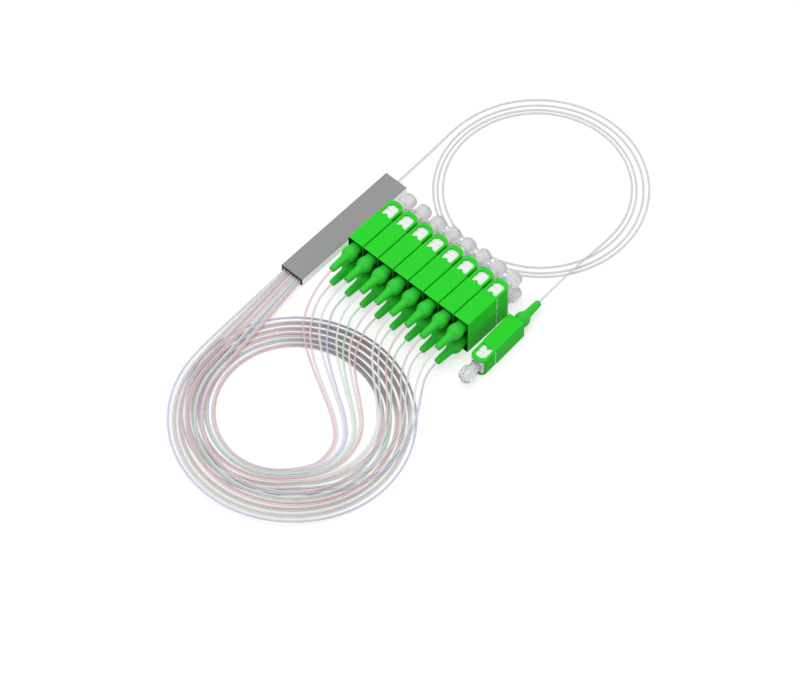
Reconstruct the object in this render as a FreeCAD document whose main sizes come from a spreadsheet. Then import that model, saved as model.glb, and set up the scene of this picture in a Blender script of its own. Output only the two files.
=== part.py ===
# 1x16 PLC fibre splitter: a metal tube module with one input cord and sixteen
# output cords, each ending in an SC/APC connector under a dust cap.
# Frame: millimetres, origin at the middle of the module's underside,
# +X along the module towards its input end, +Z up.
# Connector pieces are drawn about the middle of their grip, mating end to +X.
import FreeCAD, Part
import math
import os
import re
import Sketcher
from FreeCAD import Placement, Rotation, Vector

doc = FreeCAD.newDocument("PlcSplitter")

# ---------------------------------------------------------------- sizes (mm)

SIZES = [
    # module
    ("case_length", 60.0),
    ("case_width", 11.0),
    ("case_height", 4.0),
    ("case_wall", 0.5),
    ("case_round", 0.4),
    ("input_seal_length", 5.0),
    ("input_seal_recess", 0.5),
    ("output_seal_length", 6.0),
    ("output_seal_recess", 1.5),
    ("seal_gap", 0.02),
    ("chip_length", 12.0),
    ("chip_width", 3.4),
    ("chip_height", 1.5),
    ("array_length", 6.5),
    ("fibre_dia", 0.25),
    # grip, the coloured push-pull housing of a connector
    ("grip_length", 25.0),
    ("grip_width", 7.4),
    ("grip_height", 9.0),
    ("grip_round", 0.4),
    ("nose_length", 9.0),
    ("nose_inset", 0.3),
    ("nose_ramp", 0.5),
    ("nose_corner", 2.3),
    ("key_length", 5.0),
    ("key_height", 2.3),
    ("key_setback", 2.4),
    ("window_length", 6.2),
    ("window_width", 5.0),
    ("window_setback", 1.7),
    ("window_ease", 1.3),
    ("window_tooth", 1.1),
    ("slide_gap", 0.3),
    # plug frame, the white inner body
    ("frame_length", 19.0),
    ("frame_width", 5.4),
    ("frame_height", 6.9),
    ("frame_recess", 0.6),
    ("cavity_dia", 4.7),
    ("cavity_depth", 7.5),
    ("shoulder_wall", 0.8),
    ("ferrule_hole_gap", 0.2),
    ("chamber_dia", 4.2),
    ("latch_setback", 4.2),
    ("latch_width", 0.6),
    ("latch_depth", 0.4),
    # ferrule, its holder and the spring behind it
    ("ferrule_dia", 2.5),
    ("ferrule_length", 9.6),
    ("ferrule_recess", 1.5),
    ("ferrule_chamfer", 0.4),
    ("polish_angle", 8.0),
    ("flange_dia", 3.7),
    ("flange_length", 1.8),
    ("barrel_dia", 2.9),
    ("barrel_length", 6.8),
    ("holder_bore", 1.2),
    ("spring_length", 5.8),
    ("spring_gap", 0.15),
    ("ferrule_float", 1.0),
    # stop body behind the spring
    ("stop_fit", 0.05),
    ("stop_flange_dia", 5.3),
    ("stop_flange_length", 1.0),
    ("stop_tail_dia", 4.0),
    ("stop_tail_length", 4.3),
    # strain relief boot
    ("boot_wall_gap", 0.1),
    ("boot_neck_dia", 5.2),
    ("boot_collar_dia", 6.2),
    ("boot_collar_length", 4.0),
    ("boot_collar_gap", 1.5),
    ("boot_cone_length", 1.0),
    ("boot_tail_dia", 3.6),
    ("boot_tip_dia", 2.8),
    ("boot_tail_length", 7.2),
    ("boot_chamfer", 1.2),
    # dust cap
    ("cap_gap", 0.2),
    ("cap_floor_gap", 0.6),
    ("cap_bore_gap", 0.25),
    ("cap_bore_clearance", 1.0),
    ("cap_neck_length", 2.4),
    ("cap_bulb_dia", 6.4),
    ("cap_bulb_length", 5.6),
    ("cap_bulb_chamfer", 1.1),
    ("cap_nub_dia", 1.6),
    ("cap_nub_length", 0.5),
    # where the connectors lie
    ("columns", 8),
    ("rows", 2),
    ("column_pitch", 7.83),
    ("row_gap", 0.2),
    ("stack_x", 2.3),
    ("stack_gap", 6.1),
    ("input_x", -2.65),
    ("input_y", -81.75),
    ("input_yaw", 2.9),
    # cords
    ("cord_dia", 0.9),
    ("cord_entry", 4.0),
    ("lead_pitch", 0.56),
    ("lead_low", 1.35),
    ("lead_high", 2.45),
    ("input_lead_height", 2.0),
    ("output_coil_x", -78.8),
    ("output_coil_y", -45.5),
    ("output_coil_radius", 48.4),
    ("output_coil_height", 2.0),
    ("output_hole_x", -74.3),
    ("output_hole_y", -40.4),
    ("output_hole_radius", 28.0),
    ("output_lane_pitch", 0.93),
    ("input_coil_x", 66.3),
    ("input_coil_y", -42.4),
    ("input_coil_outer", 44.2),
    ("input_coil_inner", 35.3),
    ("input_coil_height", 1.0),
]

# Sizes that follow from the ones above.
FOLLOWING = {
    "case_inside_width": "case_width - 2 * case_wall",
    "case_inside_height": "case_height - 2 * case_wall",
    "array_reach": "chip_length / 2 + array_length",
    "input_seal_face": "case_length / 2 - input_seal_recess",
    "output_seal_face": "case_length / 2 - output_seal_recess",
    "fibre_height": "case_wall + chip_height / 2",
    "grip_front": "grip_length / 2",
    "nose_start": "grip_front - nose_length",
    "nose_half": "grip_width / 2 - nose_inset",
    "nose_side_end": "grip_front - 0.8 * nose_corner",
    "grip_bore_width": "frame_width + 2 * slide_gap",
    "grip_bore_height": "frame_height + 2 * slide_gap",
    "grip_wall": "(grip_width - grip_bore_width) / 2",
    "window_front": "grip_front - window_setback",
    "window_rear": "window_front - window_length",
    "frame_front": "grip_front - frame_recess",
    "frame_rear": "frame_front - frame_length",
    "cavity_floor": "frame_front - cavity_depth",
    "chamber_front": "cavity_floor - shoulder_wall",
    "latch_front": "grip_front - latch_setback",
    "ferrule_tip": "frame_front - ferrule_recess",
    "ferrule_rear": "ferrule_tip - ferrule_length",
    "flange_rear": "chamber_front - flange_length",
    "barrel_rear": "flange_rear - barrel_length",
    "stop_front": "flange_rear - spring_length",
    "stop_flange_rear": "frame_rear - stop_flange_length",
    "stop_tail_rear": "stop_flange_rear - stop_tail_length",
    "stop_bore_radius": "barrel_dia / 2 + spring_gap",
    "stop_bore_rear": "barrel_rear - 2 * ferrule_float",
    "cord_hole_radius": "cord_dia / 2 + boot_wall_gap",
    "boot_front": "stop_flange_rear - boot_wall_gap",
    "boot_bore_rear": "stop_tail_rear - 2 * boot_wall_gap",
    "boot_bore_radius": "stop_tail_dia / 2 + boot_wall_gap",
    "collar_front": "-grip_length / 2 - boot_collar_gap",
    "collar_rear": "collar_front - boot_collar_length",
    "boot_tail_front": "collar_rear - boot_cone_length",
    "boot_tip": "boot_tail_front - boot_tail_length",
    "cap_rear": "cavity_floor + cap_floor_gap",
    "cap_neck_radius": "cavity_dia / 2 - cap_gap",
    "cap_bore_radius": "ferrule_dia / 2 + cap_bore_gap",
    "cap_bore_front": "ferrule_tip + cap_bore_clearance",
    "bulb_rear": "grip_front + cap_neck_length",
    "bulb_front": "bulb_rear + cap_bulb_length",
    "cap_tip": "bulb_front + cap_nub_length",
    "row_pitch": "grip_height + row_gap",
    "stack_y": "-case_width / 2 - stack_gap - grip_width / 2",
    "stack_z": "grip_height / 2",
}

sheet = doc.addObject("Spreadsheet::Sheet", "Sizes")
for row, (name, value) in enumerate(SIZES, start=1):
    sheet.set(f"A{row}", name)
    sheet.set(f"B{row}", str(value))
    sheet.setAlias(f"B{row}", name)
doc.recompute()

ALIASES = {name for name, value in SIZES}
WORD = re.compile(r"[a-z]+(?:_[a-z]+)*")


def bound(text):
    """An expression on the sheet's cells, with the following sizes written out."""
    def word(match):
        name = match.group(0)
        if name in FOLLOWING:
            return f"({bound(FOLLOWING[name])})"
        return f"Sizes.{name}" if name in ALIASES else name

    return WORD.sub(word, str(text))


def value(text):
    """The present value of an expression, as a plain number."""
    found = sheet.evalExpression(bound(text))
    return float(getattr(found, "Value", found))


# --------------------------------------------------------- modelling helpers

SUBPARTS = []


def new_body(name):
    """An exported sub-part made of PartDesign features."""
    body = doc.addObject("PartDesign::Body", name)
    body.Label = name
    body.AllowCompound = True
    SUBPARTS.append(body)
    return body


def sketch(body, name, plane, outlines, height="0"):
    """Closed outlines on one of the body's planes, each corner bound to two expressions."""
    sk = body.newObject("Sketcher::SketchObject", name)
    found = [p for p in body.Origin.OriginFeatures if p.Role == f"{plane}_Plane"]
    sk.AttachmentSupport = [(found[0], "")]
    sk.MapMode = "FlatFace"
    sk.setExpression("AttachmentOffset.Base.z", bound(height))
    for outline in outlines:
        corners = [(value(u), value(v)) for u, v in outline]
        first = sk.GeometryCount
        for k, (u, v) in enumerate(corners):
            end_u, end_v = corners[(k + 1) % len(corners)]
            sk.addGeometry(Part.LineSegment(Vector(u, v, 0), Vector(end_u, end_v, 0)))
        for k, (u, v) in enumerate(outline):
            line = first + k
            after = first + (k + 1) % len(outline)
            sk.addConstraint(Sketcher.Constraint("Coincident", line, 2, after, 1))
            for kind, text in (("DistanceX", u), ("DistanceY", v)):
                rule = Sketcher.Constraint(kind, -1, 1, line, 1, value(text))
                number = sk.addConstraint(rule)
                sk.setExpression(f"Constraints[{number}]", bound(text))
    return sk


def pad(body, name, profile, length, middle=False):
    feature = body.newObject("PartDesign::Pad", name)
    feature.Profile = profile
    feature.setExpression("Length", bound(length))
    feature.Midplane = middle
    return feature


def pocket(body, name, profile, length, middle=False):
    feature = body.newObject("PartDesign::Pocket", name)
    feature.Profile = profile
    feature.setExpression("Length", bound(length))
    feature.Midplane = middle
    return feature


def turned(body, name, outline, cut=False):
    """An outline of (x, radius) corners turned about the connector's axis."""
    profile = sketch(body, f"{name}Profile", "XY", [outline])
    kind = "PartDesign::Groove" if cut else "PartDesign::Revolution"
    feature = body.newObject(kind, name)
    feature.Profile = profile
    feature.ReferenceAxis = (profile, ["H_Axis"])
    feature.Angle = 360
    return feature


def rectangle(u_low, u_high, v_low, v_high):
    return [(u_low, v_low), (u_high, v_low), (u_high, v_high), (u_low, v_high)]


def centred(width, height):
    return rectangle(f"-({width}) / 2", f"({width}) / 2", f"-({height}) / 2", f"({height}) / 2")


def edges_along_x(shape, height, tolerance=0.01):
    """Names of the straight edges along X that lie at one height above or below the axis."""
    names = []
    for number, edge in enumerate(shape.Edges, start=1):
        box = edge.BoundBox
        level = box.YLength < tolerance and box.ZLength < tolerance
        if level and abs(abs(box.Center.z) - height) < tolerance:
            names.append(f"Edge{number}")
    return names


def clone(name, master):
    """A sub-part with the master's shape, to be given a place of its own."""
    body = new_body(name)
    feature = body.newObject("PartDesign::FeatureBase", f"{name}_copy")
    feature.BaseFeature = master
    body.Tip = feature
    return body


def master_body(name):
    """A body that is only copied, never exported."""
    body = doc.addObject("PartDesign::Body", name)
    body.Label = name
    return body


# ------------------------------------------------------------------ module

def module_case():
    """Folded metal tube, open at both ends."""
    body = new_body("module_case")
    outer = centred("case_width", "case_height")
    inner = centred("case_inside_width", "case_inside_height")
    profile = sketch(body, "CaseSection", "YZ", [outer, inner], "-case_length / 2")
    tube = pad(body, "CaseTube", profile, "case_length")
    doc.recompute()
    rounding = body.newObject("PartDesign::Fillet", "CaseRounding")
    rounding.Base = (tube, edges_along_x(tube.Shape, value("case_height") / 2))
    rounding.setExpression("Radius", bound("min(case_round; case_wall * 0.9)"))
    body.setExpression("Placement.Base.z", bound("case_height / 2"))


def block(name, x_low, length, width, z_low, height):
    """A plain block centred across the module."""
    body = new_body(name)
    outline = rectangle(f"-({width}) / 2", f"({width}) / 2", z_low, f"{z_low} + {height}")
    profile = sketch(body, f"{name}_section", "YZ", [outline], x_low)
    pad(body, f"{name}_block", profile, length)


def module_inside():
    """Potted ends, the splitter chip between two fibre blocks, and the bare fibres."""
    seal_width = "(case_inside_width - 2 * seal_gap)"
    seal_height = "(case_inside_height - seal_gap)"
    block("input_end_seal", "input_seal_face - input_seal_length", "input_seal_length",
          seal_width, "case_wall", seal_height)
    block("output_end_seal", "-(output_seal_face)", "output_seal_length",
          seal_width, "case_wall", seal_height)
    block("splitter_chip", "-chip_length / 2", "chip_length",
          "chip_width", "case_wall", "chip_height")
    block("input_fibre_block", "chip_length / 2", "array_length",
          "chip_width", "case_wall", "chip_height")
    block("output_fibre_block", "-(array_reach)", "array_length",
          "chip_width", "case_wall", "chip_height")

    fibre = new_body("input_fibre")
    round_end = sketch(fibre, "FibreSection", "YZ", [], "array_reach")
    circle = round_end.addGeometry(Part.Circle(Vector(0, value("fibre_height"), 0), Vector(0, 0, 1), 1))
    centre_x = Sketcher.Constraint("PointOnObject", circle, 3, -2)
    centre_y = Sketcher.Constraint("DistanceY", -1, 1, circle, 3, value("fibre_height"))
    size = Sketcher.Constraint("Diameter", circle, value("fibre_dia"))
    round_end.addConstraint(centre_x)
    number = round_end.addConstraint(centre_y)
    round_end.setExpression(f"Constraints[{number}]", bound("fibre_height"))
    number = round_end.addConstraint(size)
    round_end.setExpression(f"Constraints[{number}]", bound("fibre_dia"))
    pad(fibre, "Fibre", round_end, "input_seal_face - input_seal_length - array_reach")

    ribbon = new_body("fibre_ribbon")
    narrow = "(16 * fibre_dia / 2 - fibre_dia)"
    wide = "(lead_pitch * 15 / 2)"
    far = "(output_seal_length - output_seal_face)"
    fan = [(far, f"-{wide}"), ("-(array_reach)", f"-{narrow}"),
           ("-(array_reach)", narrow), (far, wide)]
    profile = sketch(ribbon, "RibbonFan", "XY", [fan], "fibre_height - fibre_dia / 2")
    pad(ribbon, "Ribbon", profile, "fibre_dia")


# --------------------------------------------------------------- connectors

def nose_corners(body):
    """Rounds the nose's front corners in plan and opens its sides between the two plates."""
    plan = sketch(body, "NoseCornerPlan", "XY", [])
    radius = value("nose_corner")
    middle_x = value("grip_front - nose_corner")
    for sign, start, end in (("", 0, math.pi / 2), ("-", -math.pi / 2, 0)):
        middle_y = value(f"{sign}(nose_half - nose_corner)")
        centre = Vector(middle_x, middle_y, 0)
        arc = plan.addGeometry(Part.ArcOfCircle(Part.Circle(centre, Vector(0, 0, 1), radius),
                                                start, end))
        tip = Vector(value("grip_front"), value(f"{sign}nose_half"), 0)
        beside = Vector(middle_x, tip.y, 0)
        ahead = Vector(tip.x, middle_y, 0)
        along = plan.addGeometry(Part.LineSegment(beside, tip))
        across = plan.addGeometry(Part.LineSegment(tip, ahead))
        arc_beside, arc_ahead = (1, 2) if sign else (2, 1)
        for first, first_end, second, second_end in (
                (along, 2, across, 1), (across, 2, arc, arc_ahead), (along, 1, arc, arc_beside)):
            rule = Sketcher.Constraint("Coincident", first, first_end, second, second_end)
            plan.addConstraint(rule)
        places = (("DistanceX", along, 1, "grip_front - nose_corner"),
                  ("DistanceY", along, 1, f"{sign}nose_half"),
                  ("DistanceX", across, 1, "grip_front"),
                  ("DistanceY", across, 1, f"{sign}nose_half"),
                  ("DistanceX", across, 2, "grip_front"),
                  ("DistanceY", across, 2, f"{sign}(nose_half - nose_corner)"))
        for kind, line, line_end, text in places:
            rule = Sketcher.Constraint(kind, -1, 1, line, line_end, value(text))
            number = plan.addConstraint(rule)
            plan.setExpression(f"Constraints[{number}]", bound(text))
        number = plan.addConstraint(Sketcher.Constraint("Radius", arc, radius))
        plan.setExpression(f"Constraints[{number}]", bound("nose_corner"))
    pocket(body, "NoseCorners", plan, "grip_height", middle=True)
    high = "grip_bore_height / 2"
    opening = rectangle("nose_side_end", "grip_front", f"-{high}", high)
    sides = sketch(body, "NoseSidePlan", "XZ", [opening])
    pocket(body, "NoseSides", sides, "grip_width", middle=True)


def grip_features(body):
    """Rectangular sleeve with a narrower nose, a key rib and a latch window above and below."""
    half = "grip_width / 2"
    section = sketch(body, "GripSection", "YZ", [centred("grip_width", "grip_height")],
                     "-grip_front")
    sleeve = pad(body, "GripSleeve", section, "grip_length")
    doc.recompute()
    rounding = body.newObject("PartDesign::Fillet", "GripRounding")
    rounding.Base = (sleeve, edges_along_x(sleeve.Shape, value("grip_height") / 2))
    rounding.setExpression("Radius", bound("min(grip_round; grip_wall * 0.9)"))
    sides = []
    for sign in ("", "-"):
        sides.append([("nose_start", f"{sign}{half}"),
                      ("nose_start + nose_ramp", f"{sign}nose_half"),
                      ("grip_front", f"{sign}nose_half"), ("grip_front", f"{sign}{half}")])
    recess = sketch(body, "NosePlan", "XY", sides)
    pocket(body, "NoseRecess", recess, "grip_height", middle=True)
    key_front = "grip_front - key_setback"
    key = rectangle(f"{key_front} - key_length", key_front, f"-{half}", "-grip_bore_width / 2")
    pad(body, "KeyRib", sketch(body, "KeyPlan", "XY", [key]), "key_height", middle=True)
    bore = sketch(body, "BoreSection", "YZ", [centred("grip_bore_width", "grip_bore_height")],
                  "grip_front")
    pocket(body, "Bore", bore, "grip_length")
    nose_corners(body)
    side = "window_width / 2"
    crown = "window_width / 4"
    window = [("window_rear", f"-{side}"), ("window_front - window_ease", f"-{side}"),
              ("window_front", f"-{crown}"), ("window_front", crown),
              ("window_front - window_ease", side), ("window_rear", side),
              ("window_rear", "window_tooth"), ("window_rear + window_tooth", "0"),
              ("window_rear", "-window_tooth")]
    cut = sketch(body, "WindowPlan", "XY", [window], "grip_height / 2")
    pocket(body, "Windows", cut, "grip_height")


def frame_features(body):
    """White plug frame: a box with a stepped round hollow and a latch groove above and below."""
    section = sketch(body, "FrameSection", "YZ", [centred("frame_width", "frame_height")],
                     "frame_rear")
    pad(body, "FrameBox", section, "frame_length")
    hole = "(ferrule_dia / 2 + ferrule_hole_gap)"
    hollow = [("frame_front", "0"), ("frame_front", "cavity_dia / 2"),
              ("cavity_floor", "cavity_dia / 2"), ("cavity_floor", hole),
              ("chamber_front", hole), ("chamber_front", "chamber_dia / 2"),
              ("frame_rear", "chamber_dia / 2"), ("frame_rear", "0")]
    turned(body, "FrameHollow", hollow, cut=True)
    top = "frame_height / 2"
    rear = "latch_front - latch_width"
    grooves = [rectangle(rear, "latch_front", f"{top} - latch_depth", top),
               rectangle(rear, "latch_front", f"-{top}", f"-{top} + latch_depth")]
    cut = sketch(body, "LatchGrooves", "XZ", grooves)
    pocket(body, "Latches", cut, "frame_width", middle=True)


def ferrule_features(body):
    """Ceramic ferrule, chamfered and polished at an angle."""
    radius = "ferrule_dia / 2"
    rod = [("ferrule_rear", "0"), ("ferrule_tip", "0"),
           ("ferrule_tip", f"{radius} - ferrule_chamfer"),
           ("ferrule_tip - ferrule_chamfer", radius), ("ferrule_rear", radius)]
    turned(body, "FerruleRod", rod)
    slope = "tan(polish_angle) * ferrule_dia"
    wedge = [("ferrule_tip", f"-{radius}"), ("ferrule_tip", radius),
             (f"ferrule_tip - {slope}", radius)]
    cut = sketch(body, "PolishWedge", "XZ", [wedge])
    pocket(body, "Polish", cut, "ferrule_dia", middle=True)


def holder_features(body):
    """Metal holder: a flange and a barrel that carries the spring."""
    outline = [("chamber_front", "ferrule_dia / 2"), ("chamber_front", "flange_dia / 2"),
               ("flange_rear", "flange_dia / 2"), ("flange_rear", "barrel_dia / 2"),
               ("barrel_rear", "barrel_dia / 2"), ("barrel_rear", "holder_bore / 2"),
               ("ferrule_rear", "holder_bore / 2"), ("ferrule_rear", "ferrule_dia / 2")]
    turned(body, "Holder", outline)


def spring_features(body):
    """Plain sleeve of the coil spring's size."""
    inner = "barrel_dia / 2 + spring_gap"
    outer = "chamber_dia / 2 - spring_gap"
    turned(body, "Spring", rectangle("stop_front", "flange_rear", inner, outer))


def stop_features(body):
    """Stop body that closes the plug frame's rear and carries the boot."""
    fitted = "chamber_dia / 2 - stop_fit"
    outline = [("stop_front", "stop_bore_radius"), ("stop_front", fitted),
               ("frame_rear", fitted), ("frame_rear", "stop_flange_dia / 2"),
               ("stop_flange_rear", "stop_flange_dia / 2"),
               ("stop_flange_rear", "stop_tail_dia / 2"),
               ("stop_tail_rear", "stop_tail_dia / 2"), ("stop_tail_rear", "cord_hole_radius"),
               ("stop_bore_rear", "cord_hole_radius"), ("stop_bore_rear", "stop_bore_radius")]
    turned(body, "StopBody", outline)


def boot_features(body):
    """Strain relief boot: neck inside the grip, round collar, cone and tapered tail."""
    collar = "boot_collar_dia / 2"
    eased = f"{collar} - boot_chamfer"
    outline = [("boot_front", "boot_bore_radius"), ("boot_front", "boot_neck_dia / 2"),
               ("collar_front", "boot_neck_dia / 2"),
               ("collar_front - boot_chamfer", collar), ("collar_rear + boot_chamfer", collar),
               ("collar_rear", eased), ("boot_tail_front", "boot_tail_dia / 2"),
               ("boot_tip", "boot_tip_dia / 2"), ("boot_tip", "cord_hole_radius"),
               ("boot_bore_rear", "cord_hole_radius"), ("boot_bore_rear", "boot_bore_radius")]
    turned(body, "Boot", outline)


def cap_features(body):
    """Dust cap: a sleeve over the ferrule, a neck and a rounded bulb with a small nub."""
    bulb = "cap_bulb_dia / 2"
    eased = f"{bulb} - cap_bulb_chamfer"
    outline = [("cap_rear", "cap_bore_radius"), ("cap_rear", "cap_neck_radius"),
               ("bulb_rear", "cap_neck_radius"), ("bulb_rear", eased),
               ("bulb_rear + cap_bulb_chamfer", bulb), ("bulb_front - cap_bulb_chamfer", bulb),
               ("bulb_front", eased), ("bulb_front", "cap_nub_dia / 2"),
               ("cap_tip", "cap_nub_dia / 2"), ("cap_tip", "0"),
               ("cap_bore_front", "0"), ("cap_bore_front", "cap_bore_radius")]
    turned(body, "Cap", outline)


def place_in_stack(body, row, column):
    """Row 0 is the upper one, column 0 the one beside the module."""
    body.setExpression("Placement.Base.x", bound("stack_x"))
    body.setExpression("Placement.Base.y", bound(f"stack_y - column_pitch * {column}"))
    body.setExpression("Placement.Base.z", bound(f"stack_z + row_pitch * (rows - 1 - {row})"))


def place_at_input(body):
    """Half a turn about a level axis, so that it faces -X, with a small yaw."""
    axis = "create(<<vector>>; -sin(input_yaw / 2); cos(input_yaw / 2); 0)"
    turn = f"create(<<rotation>>; {axis}; 180)"
    spot = "create(<<vector>>; input_x; input_y; stack_z)"
    body.setExpression("Placement", bound(f"create(<<placement>>; {spot}; {turn})"))


def repeat_along(body, axis_role, pitch, count):
    """Copies the body's whole shape along one of its axes, away from the axis's point."""
    pattern = body.newObject("PartDesign::LinearPattern", f"{body.Name}_{axis_role}")
    axes = [axis for axis in body.Origin.OriginFeatures if axis.Role == axis_role]
    pattern.TransformMode = "Whole shape"
    pattern.Direction = (axes[0], [""])
    pattern.Reversed = True
    pattern.Mode = "Spacing"
    pattern.setExpression("Offset", bound(pitch))
    pattern.setExpression("Occurrences", bound(count))
    body.Tip = pattern


def repeat_over_stack(body):
    """Copies the body's shape over the columns and rows of the stack."""
    repeat_along(body, "Y_Axis", "column_pitch", "columns")
    repeat_along(body, "Z_Axis", "row_pitch", "rows")


INPUT_PIECES = {
    "input_plug_frame": frame_features,
    "input_ferrule": ferrule_features,
    "input_ferrule_holder": holder_features,
    "input_spring": spring_features,
    "input_stop_body": stop_features,
    "input_boot": boot_features,
}
OUTPUT_GROUPS = {
    "output_plug_frames": frame_features,
    "output_ferrules": ferrule_features,
    "output_springs": spring_features,
    "output_stop_bodies": stop_features,
    "output_boots": boot_features,
}


def connectors():
    """One input connector and the stack; grips and caps are separate sub-parts, the rest groups."""
    grip = master_body("grip_master")
    grip_features(grip)
    cap = master_body("cap_master")
    cap_features(cap)
    columns = int(value("columns"))
    for row in range(int(value("rows"))):
        for column in range(columns):
            number = row * columns + column + 1
            place_in_stack(clone(f"grip_{number:02d}", grip), row, column)
            place_in_stack(clone(f"dust_cap_{number:02d}", cap), row, column)
    place_at_input(clone("input_grip", grip))
    place_at_input(clone("input_dust_cap", cap))
    for name, features in INPUT_PIECES.items():
        body = new_body(name)
        features(body)
        place_at_input(body)
    for name, features in OUTPUT_GROUPS.items():
        body = new_body(name)
        features(body)
        repeat_over_stack(body)
        place_in_stack(body, 0, 0)


# -------------------------------------------------------------------- cords

# Points chosen by hand, (x, y) in mm, from the coil to the crossing nearest the boot.
# Columns 0 to 3 come out of the middle of the coil, the others leave over its side.
TAIL_ROUTES = {
    (0, 0): [(-86.0, -67.0), (-76.0, -65.6), (-68.0, -56.6), (-60.6, -42.6), (-52.6, -28.0),
             (-44.2, -18.6)],
    (1, 0): [(-86.0, -68.0), (-75.4, -66.5), (-67.1, -57.2), (-59.7, -43.4), (-50.7, -28.6),
             (-40.2, -19.6)],
    (0, 1): [(-83.5, -69.6), (-73.5, -68.0), (-65.2, -59.4), (-57.3, -46.2), (-48.9, -32.2),
             (-40.4, -23.9)],
    (1, 1): [(-83.5, -70.6), (-72.9, -68.9), (-64.3, -60.0), (-56.4, -47.0), (-46.9, -33.4),
             (-36.7, -25.8)],
    (0, 2): [(-79.5, -71.6), (-69.3, -68.9), (-61.1, -59.9), (-53.4, -48.4), (-45.4, -37.2),
             (-37.0, -30.9)],
    (1, 2): [(-79.5, -72.6), (-68.7, -69.8), (-60.2, -60.5), (-52.5, -49.3), (-43.7, -38.9),
             (-34.2, -33.4)],
    (0, 3): [(-76.0, -73.0), (-65.4, -69.0), (-57.0, -59.6), (-49.6, -49.0), (-42.4, -41.2),
             (-36.2, -38.3)],
    (1, 3): [(-76.0, -74.0), (-64.9, -69.9), (-56.1, -60.4), (-48.6, -50.2), (-41.2, -43.4),
             (-34.8, -41.0)],
    (0, 4): [(-55.5, -68.8), (-46.5, -58.4), (-38.0, -48.9)],
    (1, 4): [(-54.7, -69.7), (-45.8, -60.2), (-36.8, -51.4)],
    (0, 5): [(-53.0, -71.3), (-44.2, -62.8), (-37.4, -55.9)],
    (1, 5): [(-52.2, -72.2), (-43.6, -64.6), (-36.4, -58.4)],
    (0, 6): [(-52.0, -77.0), (-43.8, -69.9), (-37.2, -63.6)],
    (1, 6): [(-51.3, -77.9), (-43.1, -71.6), (-36.5, -66.5)],
    (0, 7): [(-54.5, -83.4), (-45.9, -78.2), (-38.2, -72.0)],
    (1, 7): [(-54.0, -84.4), (-45.1, -79.9), (-37.4, -74.6)],
}
# Heights of those points, by row, for the long tails and the short ones.
TAIL_HEIGHTS = {
    (0, 6): [1.2, 1.3, 1.4, 1.8, 3.6, 7.0],
    (1, 6): [1.2, 1.3, 1.4, 1.7, 3.0, 3.6],
    (0, 3): [1.4, 3.2, 6.6],
    (1, 3): [1.4, 2.9, 3.5],
}
# How far outside the boot a tail starts to bend.
TAIL_STRAIGHT = 5.6
# The input tail leaves the coil, crosses its outer turns and rises to its boot.
INPUT_TAIL = [(66.3, -78.4, 0.5), (56.2, -78.5, 1.3), (45.4, -79.0, 2.7)]
INPUT_TAIL_STRAIGHT = 9.5

shortest_radius = []


def tube(points, radius):
    """Straight runs joined by tangent arcs, each arc as large as its two runs allow."""
    points = [Vector(*point) for point in points]
    edges = []
    start = points[0]
    for before, corner, after in zip(points, points[1:], points[2:]):
        come = (corner - before).normalize()
        leave = (after - corner).normalize()
        turn = come.getAngle(leave)
        reach = 0.45 * min((corner - before).Length, (after - corner).Length)
        bend = reach / math.tan(turn / 2)
        shortest_radius.append(bend)
        inward = (leave - come).normalize()
        middle = corner + inward * (bend / math.cos(turn / 2) - bend)
        arc_start = corner - come * reach
        arc_end = corner + leave * reach
        edges.append(Part.LineSegment(start, arc_start).toShape())
        edges.append(Part.Arc(arc_start, middle, arc_end).toShape())
        start = arc_end
    edges.append(Part.LineSegment(start, points[-1]).toShape())
    path = Part.Wire(edges)
    section = Part.Face(Part.Wire(Part.makeCircle(radius, points[0], points[1] - points[0])))
    solid = path.makePipe(section)
    ideal = math.pi * radius ** 2 * path.Length
    if abs(solid.Volume - ideal) > 0.01 * ideal:
        raise RuntimeError(f"tube volume {solid.Volume} is not {ideal}")
    return solid


def add_cord(name, shape):
    """A cord's solids, drawn straight in the object's frame."""
    feature = doc.addObject("Part::Feature", name)
    feature.Label = name
    feature.Shape = shape
    feature.Placement = Placement()
    SUBPARTS.append(feature)


def output_cords():
    """Sixteen leads from the module to the coil, and sixteen tails from the coil to the boots."""
    radius = value("cord_dia") / 2
    columns = int(value("columns"))
    rows = int(value("rows"))
    lanes = columns * rows
    coil_x = value("output_coil_x")
    top_lane = value("output_coil_y") + value("output_coil_radius") - radius - 0.05
    leads = []
    for lane in range(lanes):
        low = value("lead_low") if lane % 2 == 0 else value("lead_high")
        start_y = ((lanes - 1) / 2 - lane) * value("lead_pitch")
        end_y = top_lane - lane * value("output_lane_pitch")
        start = (-value("output_seal_face"), start_y, low)
        leads.append(tube([start, (coil_x, end_y, value("output_coil_height") / 2)], radius))
    add_cord("output_leads", Part.makeCompound(leads))

    tip_x = value("stack_x + boot_tip")
    tails = []
    for (row, column), plan in TAIL_ROUTES.items():
        heights = TAIL_HEIGHTS[row, len(plan)]
        axis_y = value(f"stack_y - column_pitch * {column}")
        axis_z = value(f"stack_z + row_pitch * (rows - 1 - {row})")
        route = [(x, y, z) for (x, y), z in zip(plan, heights)]
        route.append((tip_x - TAIL_STRAIGHT, axis_y, axis_z))
        route.append((tip_x + value("cord_entry"), axis_y, axis_z))
        tails.append(tube(route, radius))
    add_cord("output_tails", Part.makeCompound(tails))


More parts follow.
